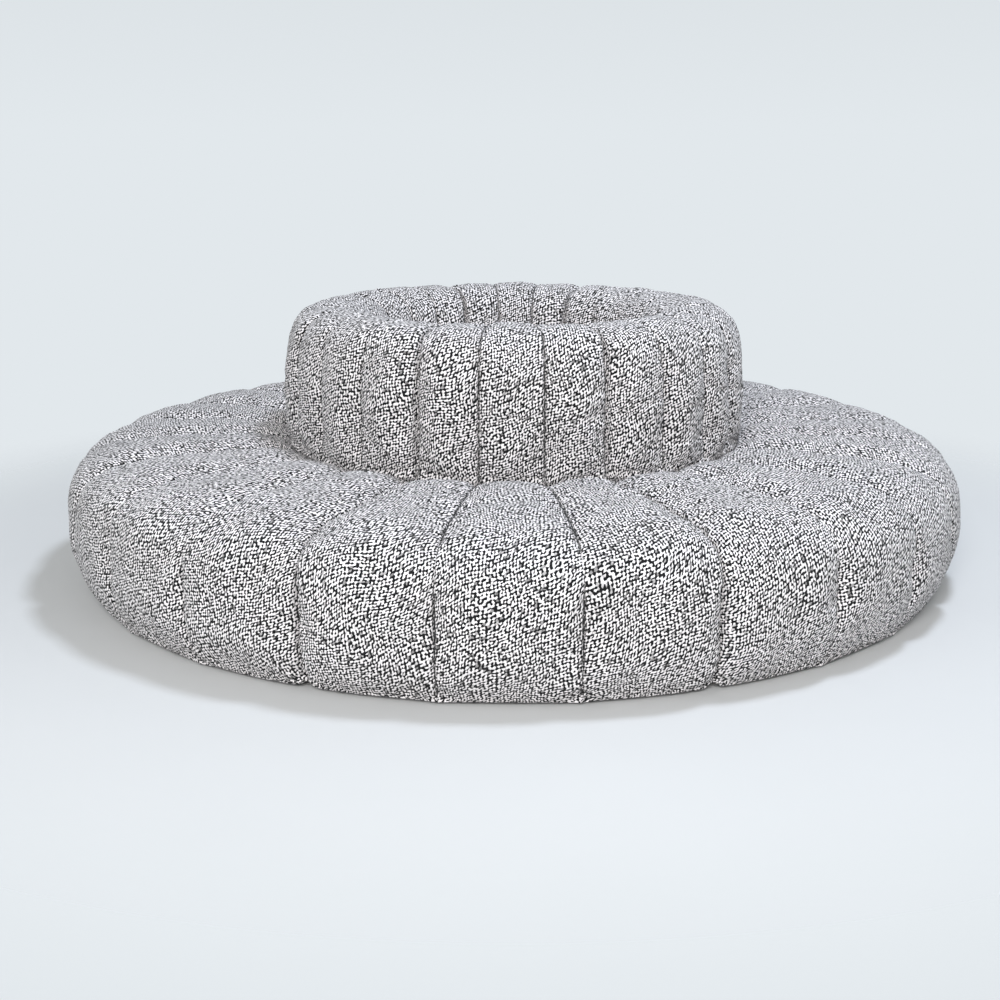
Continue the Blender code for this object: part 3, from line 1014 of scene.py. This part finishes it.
class RINGSOFA_OT_seat_covers(bpy.types.Operator):
    """Eight channelled seat cushions in boucle"""

    bl_idname = "ring_sofa.seat_covers"
    bl_label = "Seat covers"

    def execute(self, context):
        sizes = context.scene.ring_sofa_sizes
        section = seat_section(sizes, seat_pitch)
        cloth = sewn_cloth("seat_cloth", section, seat_steps, seat_slack, seat_swell)
        rear = sizes.seat_height - seat_dip
        closing = np.array(
            [(0, rear - 0.004), (0, rear - 0.03), (0, hem_height + hem_rise), (0, hem_height + hem_round)]
            + [(part, hem_height) for part in (0, 0.01, *underside_rows, skirt_start)]
            + [(skirt_row, front_hem_height + skirt_rise)]
        )
        inner, outer = seat_reach[0] - pocket_room, seat_reach[1] + pocket_room
        blocks = [(inner, outer, deck_height + pocket_room)]
        make_ring("seat", cloth, seat_steps, closing, blocks, seat_thread, context)
        return {"FINISHED"}


class RINGSOFA_OT_back_covers(bpy.types.Operator):
    """Eight channelled back cushions in boucle"""

    bl_idname = "ring_sofa.back_covers"
    bl_label = "Back covers"

    def execute(self, context):
        section = back_section(context.scene.ring_sofa_sizes, back_pitch)
        cloth = sewn_cloth("back_cloth", section, back_steps, back_slack, back_swell)
        closing = np.array(
            [(part, hem_height) for part in (0.015, *underside_rows, 0.985)]
            + [(1, hem_height + hem_round), (1, hem_height + hem_rise), (1, deck_height - 0.01)]
        )
        inner, outer = back_reach[0] - pocket_room, back_reach[1] + pocket_room
        blocks = [
            (inner, outer, float(back_reach[3]) + pocket_room),
            (inner, foot_cut, deck_height + pocket_room),
        ]
        make_ring("back", cloth, back_steps, closing, blocks, back_thread, context)
        return {"FINISHED"}


class RINGSOFA_OT_frames(bpy.types.Operator):
    """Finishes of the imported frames, plinth boards and brackets"""

    bl_idname = "ring_sofa.frames"
    bl_label = "Frames and brackets"

    def execute(self, context):
        finishes = {
            "seat_frame": plywood_material(),
            "plinth": lacquer_material(),
            "connector": steel_material(),
        }
        finishes["back_frame"] = finishes["seat_frame"]
        for name, node in frame["nodes"].items():
            for start, material in finishes.items():
                if name.startswith(start):
                    node.data.materials.clear()
                    node.data.materials.append(material)
        return {"FINISHED"}


# Each lamp's name, size, place, and the settings of its power and colour
lamps = (
    ("key_lamp", 1.1, (1.6, -0.2, 6.1), "key_power", "key_colour"),
    ("fill_lamp", 2.6, (-0.6, -7.2, 3.7), "fill_power", None),
)
lamp_target = (0, 0, 0.2)
overhead_share = 0.45
# Camera: fitted to the photo's outlines
camera_distance, camera_height, camera_turn = 4.2444, 1.2312, math.radians(0.5)
camera_pitch, camera_lens, camera_shift = 0.229, 53.71, (-0.014, -0.025)
floor_radii, floor_turns = (0.5, 1.0, 2.0, 4.0, 8.0, 16.0), 96


def floor_mesh(name):
    """A round floor: rings of growing radius about the axis."""
    radius = np.array(floor_radii)
    angle = np.linspace(0, math.tau, floor_turns, endpoint=False)
    points = polar(radius[:, None], angle[None, :], np.zeros((len(radius), floor_turns)))
    corner = np.arange(points.size // 3).reshape(len(radius), floor_turns)
    right = np.roll(corner, -1, axis=1)
    faces = np.stack([corner[:-1], corner[1:], right[1:], right[:-1]], axis=-1).reshape(-1, 4)
    mesh = bpy.data.meshes.new(name)
    mesh.from_pydata(points.reshape(-1, 3), [], [*faces.tolist(), corner[0].tolist()])
    return mesh


def studio_sky(studio):
    """Even light from all round, dimmer overhead, as a studio's ceiling is."""
    world = bpy.data.worlds.new("studio_sky")
    world.use_nodes = True
    sky = world.node_tree.nodes["Background"]
    sky.inputs["Color"].default_value = (*studio.sky, 1)
    node = functools.partial(add_node, world.node_tree)
    direction = node("TexCoord").outputs["Generated"]
    height = node("SeparateXYZ", (direction,)).outputs["Z"]
    level, overhead = studio.sky_strength, overhead_share * studio.sky_strength
    strength = node("MapRange", (height, 0, 1, level, overhead)).outputs["Result"]
    world.node_tree.links.new(strength, sky.inputs["Strength"])
    return world


def add_lamp(name, size, place, power, colour):
    """A round lamp at a place, aimed at the lamps' target."""
    lamp = bpy.data.lights.new(name, "AREA")
    lamp.shape = "DISK"
    lamp.size = size
    lamp.energy = power
    lamp.color = colour
    obj = new_object(name, lamp)
    obj.location = place
    across, deep, up = np.subtract(lamp_target, place)
    tilt = math.atan2(math.hypot(across, deep), -up)
    obj.rotation_euler = (tilt, 0, math.atan2(deep, across) - math.pi / 2)


def add_camera():
    """The camera that stands as the photo's did."""
    data = bpy.data.cameras.new("camera")
    data.sensor_width = 36
    data.lens = camera_lens
    data.shift_x, data.shift_y = camera_shift
    data.clip_end = 60
    camera = new_object("camera", data)
    across, deep = math.sin(camera_turn), -math.cos(camera_turn)
    camera.location = (camera_distance * across, camera_distance * deep, camera_height)
    camera.rotation_euler = (math.pi / 2 - camera_pitch, 0, camera_turn)
    return camera


class RINGSOFA_OT_studio(bpy.types.Operator):
    """Pale floor, soft light and camera"""

    bl_idname = "ring_sofa.studio"
    bl_label = "Studio"

    def execute(self, context):
        scene, studio = context.scene, context.scene.ring_sofa_studio
        floor = new_object("studio_floor", floor_mesh("studio_floor"))
        finish_mesh(floor, floor_material(studio), 60)
        scene.world = studio_sky(studio)
        for name, size, place, power, colour in lamps:
            tint = getattr(studio, colour) if colour else (1, 1, 1)
            add_lamp(name, size, place, getattr(studio, power), tint)
        scene.camera = add_camera()
        scene.view_settings.view_transform = "Standard"
        scene.view_settings.look = "None"
        return {"FINISHED"}


class RINGSOFA_PT_panel(bpy.types.Panel):
    """Sidebar panel of the ring sofa"""

    bl_idname = "RINGSOFA_PT_panel"
    bl_label = "Ring sofa"
    bl_space_type = "VIEW_3D"
    bl_region_type = "UI"
    bl_category = "Ring sofa"

    def draw(self, context):
        layout = self.layout
        for operator in operators:
            layout.operator(operator.bl_idname)
        for settings in (
            context.scene.ring_sofa_sizes,
            context.scene.ring_sofa_fabric,
            context.scene.ring_sofa_studio,
        ):
            for name in settings.__annotations__:
                layout.prop(settings, name)


operators = (
    RINGSOFA_OT_seat_covers,
    RINGSOFA_OT_back_covers,
    RINGSOFA_OT_frames,
    RINGSOFA_OT_studio,
)
classes = (RingSofaSizes, RingSofaFabric, RingSofaStudio, *operators, RINGSOFA_PT_panel)


def register():
    for item in classes:
        bpy.utils.register_class(item)
    bpy.types.Scene.ring_sofa_sizes = bpy.props.PointerProperty(type=RingSofaSizes)
    bpy.types.Scene.ring_sofa_fabric = bpy.props.PointerProperty(type=RingSofaFabric)
    bpy.types.Scene.ring_sofa_studio = bpy.props.PointerProperty(type=RingSofaStudio)


def unregister():
    del bpy.types.Scene.ring_sofa_studio
    del bpy.types.Scene.ring_sofa_fabric
    del bpy.types.Scene.ring_sofa_sizes
    for item in reversed(classes):
        bpy.utils.unregister_class(item)


def main():
    register()
    bpy.ops.ring_sofa.seat_covers()
    bpy.ops.ring_sofa.back_covers()
    bpy.ops.ring_sofa.frames()
    bpy.ops.ring_sofa.studio()


if __name__ == "__main__":
    main()
